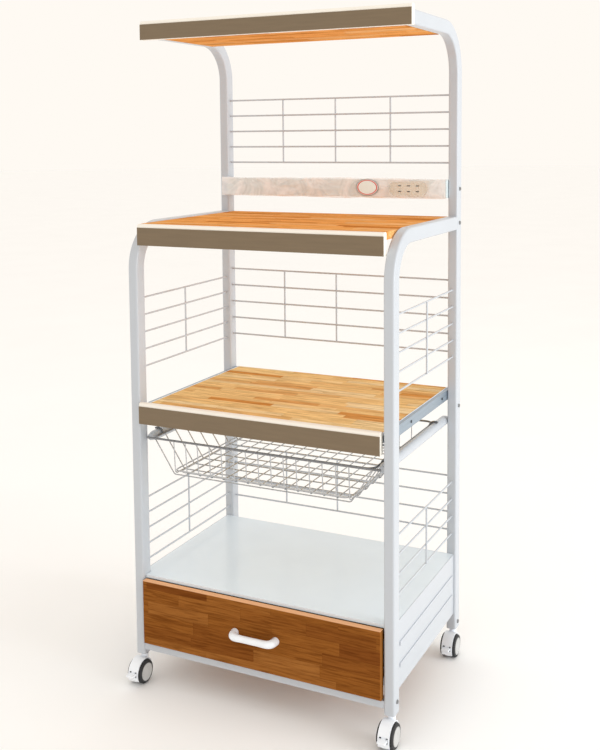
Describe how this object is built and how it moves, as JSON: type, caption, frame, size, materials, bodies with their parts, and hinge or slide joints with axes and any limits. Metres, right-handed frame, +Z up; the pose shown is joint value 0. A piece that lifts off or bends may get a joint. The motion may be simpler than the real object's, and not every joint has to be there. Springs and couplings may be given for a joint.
{
  "type": "microwave cart",
  "caption": "Rolling kitchen cart of white bent tube with a high top shelf, a microwave shelf, a pull-out shelf, a wire basket, a drawer cabinet and locking casters.",
  "frame": {"origin": "bottom centre of the bounding box at rest, on the floor under the middle of the cart", "axes": "+X to the right seen from the front, +Y to the rear, +Z up; the drawer and basket pull out towards -Y"},
  "size_m": [0.615, 0.468, 1.4315],
  "materials": {
    "white_tube": "semi-gloss white powder coat",
    "white_sheet": "semi-gloss white powder coat on thin steel sheet",
    "oak_board": "glossy honey butcher-block laminate",
    "cream_edge": "cream wrapped edge",
    "taupe_face": "satin taupe foil",
    "brown_front": "satin brown butcher-block foil",
    "chrome_wire": "dark bright chrome",
    "zinc_sheet": "zinc-plated steel sheet",
    "steel_pin": "plain steel",
    "white_plastic": "moulded white plastic",
    "black_tyre": "soft black tread",
    "grey_hub": "light grey moulded plastic",
    "beige_plastic": "pinkish beige moulded plastic",
    "clear_film": "loose clear plastic film",
    "brown_board": "thin bottom board"
  },
  "bodies": {
    "frame": {"rear_upper_post_L": "white_tube", "rear_lower_post_L": "white_tube", "front_post_L": "white_tube", "rear_upper_post_R": "white_tube", "rear_lower_post_R": "white_tube", "front_post_R": "white_tube", "upper_back_grille": "white_tube", "middle_back_grille": "white_tube", "lower_back_grille": "white_tube", "middle_side_grilles": "white_tube", "lower_side_grilles": "white_tube", "basket_rails": "white_tube", "post_joint_sleeves": "steel_pin", "frame_fasteners": "steel_pin", "caster_pins": "steel_pin", "top_fascia_core": "cream_edge", "middle_fascia_core": "cream_edge", "top_fascia_face": "taupe_face", "middle_fascia_face": "taupe_face", "top_board": "oak_board", "middle_board": "oak_board", "shelf_slide_rails": "zinc_sheet", "drawer_runners": "zinc_sheet", "caster_sockets": "white_plastic", "cabinet_top_panel": "white_sheet", "cabinet_side_panels": "white_sheet", "cabinet_back_panel": "white_sheet", "cabinet_front_rail": "white_sheet", "power_strip_case": "beige_plastic", "power_strip_outlet_plate": "beige_plastic", "power_strip_film": "clear_film"},
    "pullout_shelf": {"shelf_tray": "zinc_sheet", "shelf_board": "oak_board", "shelf_fascia_core": "cream_edge", "shelf_fascia_face": "taupe_face", "shelf_rollers": "white_plastic"},
    "basket": {"basket_rim": "chrome_wire", "basket_wall_wires": "chrome_wire", "basket_floor_wires": "chrome_wire"},
    "drawer": {"drawer_front": "brown_front", "drawer_handle": "white_plastic", "drawer_walls": "white_sheet", "drawer_bottom_board": "brown_board", "drawer_rollers": "white_plastic"},
    "caster_front_left": {"caster_hood_front_left": "white_plastic"},
    "wheels_front_left": {"caster_tyres_front_left": "black_tyre", "caster_hubs_front_left": "grey_hub"},
    "brake_front_left": {"caster_lever_front_left": "white_plastic"},
    "caster_front_right": {"caster_hood_front_right": "white_plastic"},
    "wheels_front_right": {"caster_tyres_front_right": "black_tyre", "caster_hubs_front_right": "grey_hub"},
    "brake_front_right": {"caster_lever_front_right": "white_plastic"},
    "caster_rear_left": {"caster_hood_rear_left": "white_plastic"},
    "wheels_rear_left": {"caster_tyres_rear_left": "black_tyre", "caster_hubs_rear_left": "grey_hub"},
    "brake_rear_left": {"caster_lever_rear_left": "white_plastic"},
    "caster_rear_right": {"caster_hood_rear_right": "white_plastic"},
    "wheels_rear_right": {"caster_tyres_rear_right": "black_tyre", "caster_hubs_rear_right": "grey_hub"},
    "brake_rear_right": {"caster_lever_rear_right": "white_plastic"}
  },
  "joints": [
    {"name": "shelf_slide", "type": "slide", "parent": "frame", "child": "pullout_shelf", "axis": [0, -1, 0], "range_m": [0, 0.25]},
    {"name": "basket_slide", "type": "slide", "parent": "frame", "child": "basket", "axis": [0, -1, 0], "range_m": [0, 0.2]},
    {"name": "drawer_slide", "type": "slide", "parent": "frame", "child": "drawer", "axis": [0, -1, 0], "range_m": [0, 0.28]},
    {"name": "swivel_front_left", "type": "hinge", "parent": "frame", "child": "caster_front_left", "pos_m": [-0.289, -0.174, 0.05], "axis": [0, 0, 1], "continuous": true},
    {"name": "spin_front_left", "type": "hinge", "parent": "caster_front_left", "child": "wheels_front_left", "pos_m": [-0.289, -0.192, 0.025], "axis": [1, 0, 0], "continuous": true},
    {"name": "brake_lever_front_left", "type": "hinge", "parent": "caster_front_left", "child": "brake_front_left", "pos_m": [-0.289, -0.2215, 0.029], "axis": [1, 0, 0], "range_deg": [0, 14]},
    {"name": "swivel_front_right", "type": "hinge", "parent": "frame", "child": "caster_front_right", "pos_m": [0.289, -0.174, 0.05], "axis": [0, 0, 1], "continuous": true},
    {"name": "spin_front_right", "type": "hinge", "parent": "caster_front_right", "child": "wheels_front_right", "pos_m": [0.289, -0.192, 0.025], "axis": [1, 0, 0], "continuous": true},
    {"name": "brake_lever_front_right", "type": "hinge", "parent": "caster_front_right", "child": "brake_front_right", "pos_m": [0.289, -0.2215, 0.029], "axis": [1, 0, 0], "range_deg": [0, 14]},
    {"name": "swivel_rear_left", "type": "hinge", "parent": "frame", "child": "caster_rear_left", "pos_m": [-0.289, 0.219, 0.05], "axis": [0, 0, 1], "continuous": true},
    {"name": "spin_rear_left", "type": "hinge", "parent": "caster_rear_left", "child": "wheels_rear_left", "pos_m": [-0.289, 0.201, 0.025], "axis": [1, 0, 0], "continuous": true},
    {"name": "brake_lever_rear_left", "type": "hinge", "parent": "caster_rear_left", "child": "brake_rear_left", "pos_m": [-0.289, 0.1715, 0.029], "axis": [1, 0, 0], "range_deg": [0, 14]},
    {"name": "swivel_rear_right", "type": "hinge", "parent": "frame", "child": "caster_rear_right", "pos_m": [0.289, 0.219, 0.05], "axis": [0, 0, 1], "continuous": true},
    {"name": "spin_rear_right", "type": "hinge", "parent": "caster_rear_right", "child": "wheels_rear_right", "pos_m": [0.289, 0.201, 0.025], "axis": [1, 0, 0], "continuous": true},
    {"name": "brake_lever_rear_right", "type": "hinge", "parent": "caster_rear_right", "child": "brake_rear_right", "pos_m": [0.289, 0.1715, 0.029], "axis": [1, 0, 0], "range_deg": [0, 14]}
  ]
}
